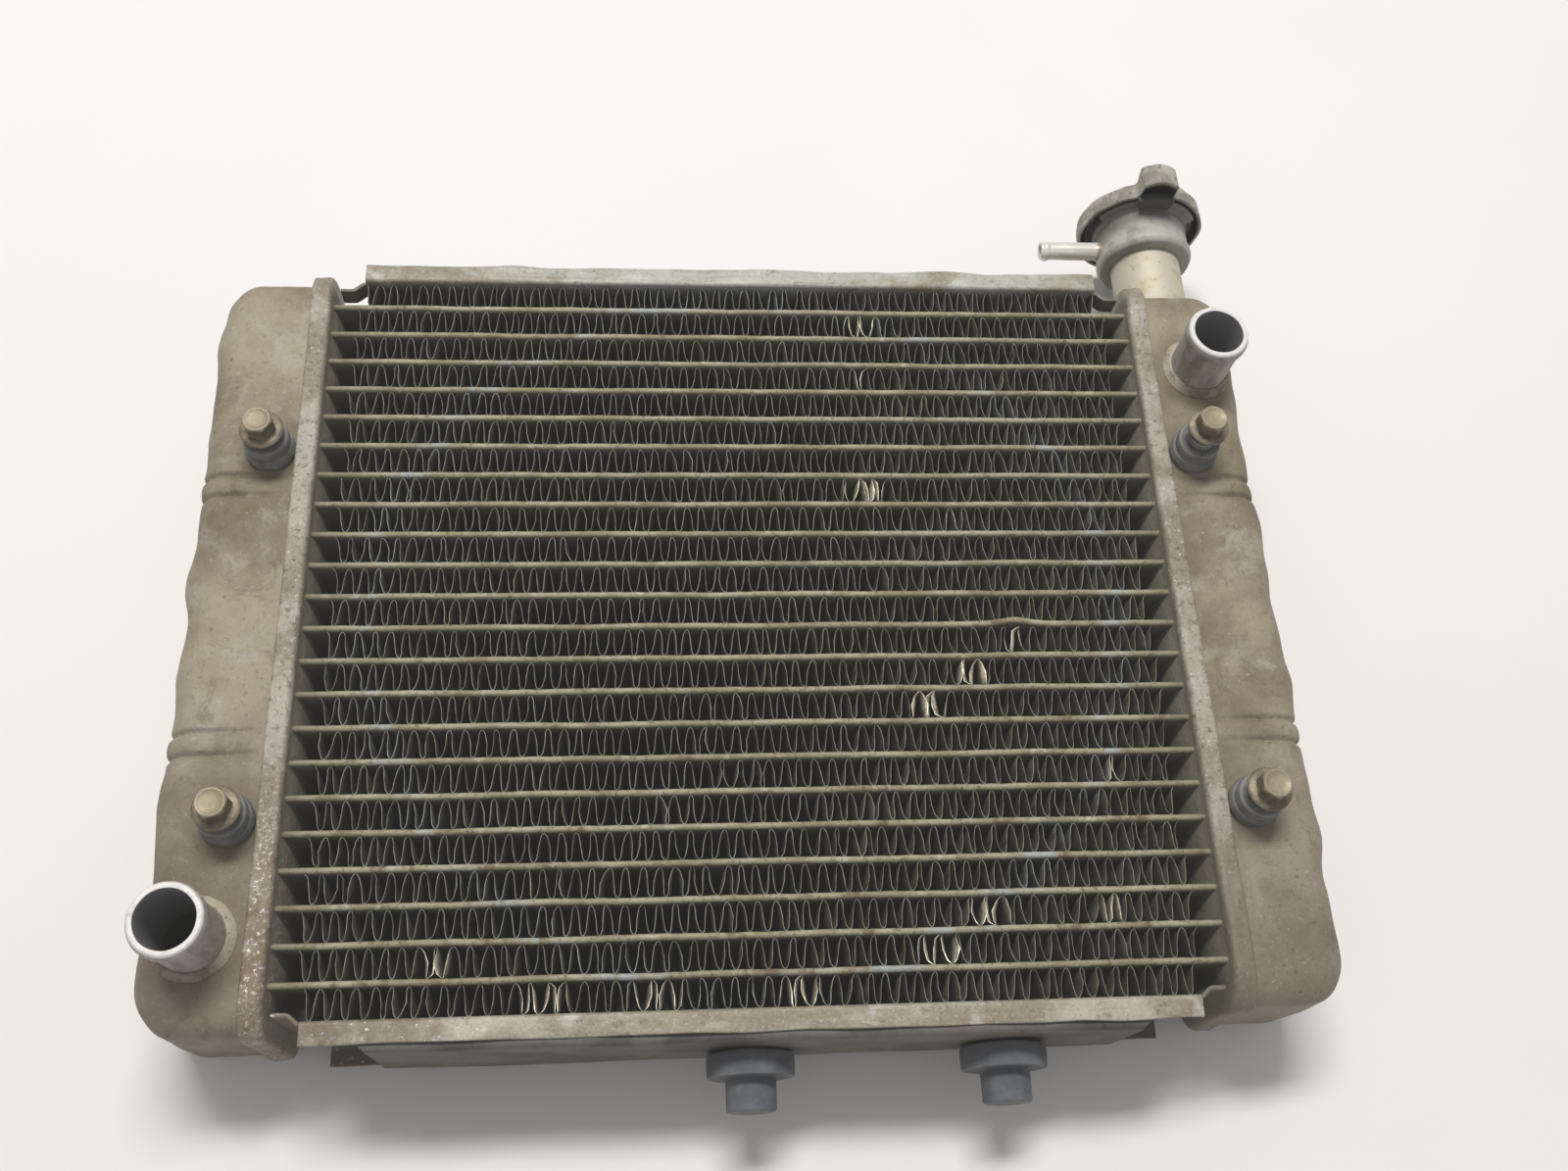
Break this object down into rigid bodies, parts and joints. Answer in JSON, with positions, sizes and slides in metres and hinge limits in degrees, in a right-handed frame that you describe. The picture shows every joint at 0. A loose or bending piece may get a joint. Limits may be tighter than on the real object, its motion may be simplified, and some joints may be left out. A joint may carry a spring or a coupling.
{
  "type": "car radiator",
  "caption": "Small cross-flow aluminium car radiator with a finned tube core, side tanks, hose pipes, filler neck with pressure cap, bolts in rubber rings and lower rubber pins.",
  "frame": {"origin": "bottom centre of the bounding box, on the plane that the radiator lies on", "axes": "+X along the tubes towards the tank with the filler neck, +Y towards the filler neck's mouth, +Z out of the front face, away from the surface it lies on"},
  "size_m": [0.3282, 0.2986, 0.0745],
  "materials": {
    "tank": "matt oxidised, blotchy tan and grey",
    "header": "bare, pitted, worn bright on the rim",
    "side_plate": "dull mill finish with stains",
    "tube": "dull, limescale stains on the front edges",
    "fin": "thin bare sheet, dusty",
    "bracket": "dull mill finish",
    "pin": "zinc plated, dulled",
    "rubber": "black, dusty, slightly faded",
    "pipe": "dull outside, bright worn lip",
    "weld": "rippled fillet weld with chalky crust",
    "bolt": "yellow-zinc plating worn to bronze brown",
    "sleeve": "plain steel tube",
    "boss": "machined",
    "neck": "matt, stained golden near the tank",
    "spout": "bright drawn tube",
    "cap": "pressed steel, dirty and dulled",
    "cap_fitting": "plain brass",
    "seal": "black rubber",
    "spring": "spring steel wire",
    "vacuum_valve": "plain brass"
  },
  "bodies": {
    "radiator": {"left_tank": "tank", "right_tank": "tank", "left_header": "header", "right_header": "header", "top_side_plate": "side_plate", "bottom_side_plate": "side_plate", "flat_tubes": "tube", "fin_01": "fin", "fin_02": "fin", "fin_03": "fin", "fin_04": "fin", "fin_05": "fin", "fin_06": "fin", "fin_07": "fin", "fin_08": "fin", "fin_09": "fin", "fin_10": "fin", "fin_11": "fin", "fin_12": "fin", "fin_13": "fin", "fin_14": "fin", "fin_15": "fin", "fin_16": "fin", "fin_17": "fin", "fin_18": "fin", "fin_19": "fin", "fin_20": "fin", "fin_21": "fin", "fin_22": "fin", "fin_23": "fin", "lower_bracket": "bracket", "lower_pins": "pin", "lower_rubber_pads": "rubber", "bolt_grommets": "rubber", "inlet_pipe": "pipe", "outlet_pipe": "pipe", "inlet_weld_ring": "weld", "outlet_weld_ring": "weld", "mounting_bolts": "bolt", "bolt_sleeves": "sleeve", "tank_bosses": "boss", "filler_pipe": "neck", "filler_cup": "neck", "overflow_spout": "spout"},
    "cap": {"cap_shell": "cap", "cap_rivet": "cap_fitting", "cap_top_seal": "seal", "cap_spring_disc": "cap_fitting", "pressure_spring": "spring"},
    "pressure_valve": {"pressure_valve": "cap_fitting", "pressure_gasket": "seal", "vacuum_spring": "spring"},
    "vacuum_valve": {"vacuum_valve": "vacuum_valve"}
  },
  "joints": [
    {"name": "cap_turn", "type": "hinge", "parent": "radiator", "child": "cap", "pos_m": [0.1423, 0.13925, 0.0295], "axis": [0, 1, 0], "range_deg": [0, 90]},
    {"name": "pressure_valve_lift", "type": "slide", "parent": "cap", "child": "pressure_valve", "axis": [0, 1, 0], "range_m": [0, 0.002], "stiffness_N_per_m": 2000, "springref_m": -0.008, "deforming": ["pressure_spring"]},
    {"name": "vacuum_valve_drop", "type": "slide", "parent": "pressure_valve", "child": "vacuum_valve", "axis": [0, -1, 0], "range_m": [0, 0.0015], "stiffness_N_per_m": 50, "springref_m": -0.003, "deforming": ["vacuum_spring"]}
  ]
}
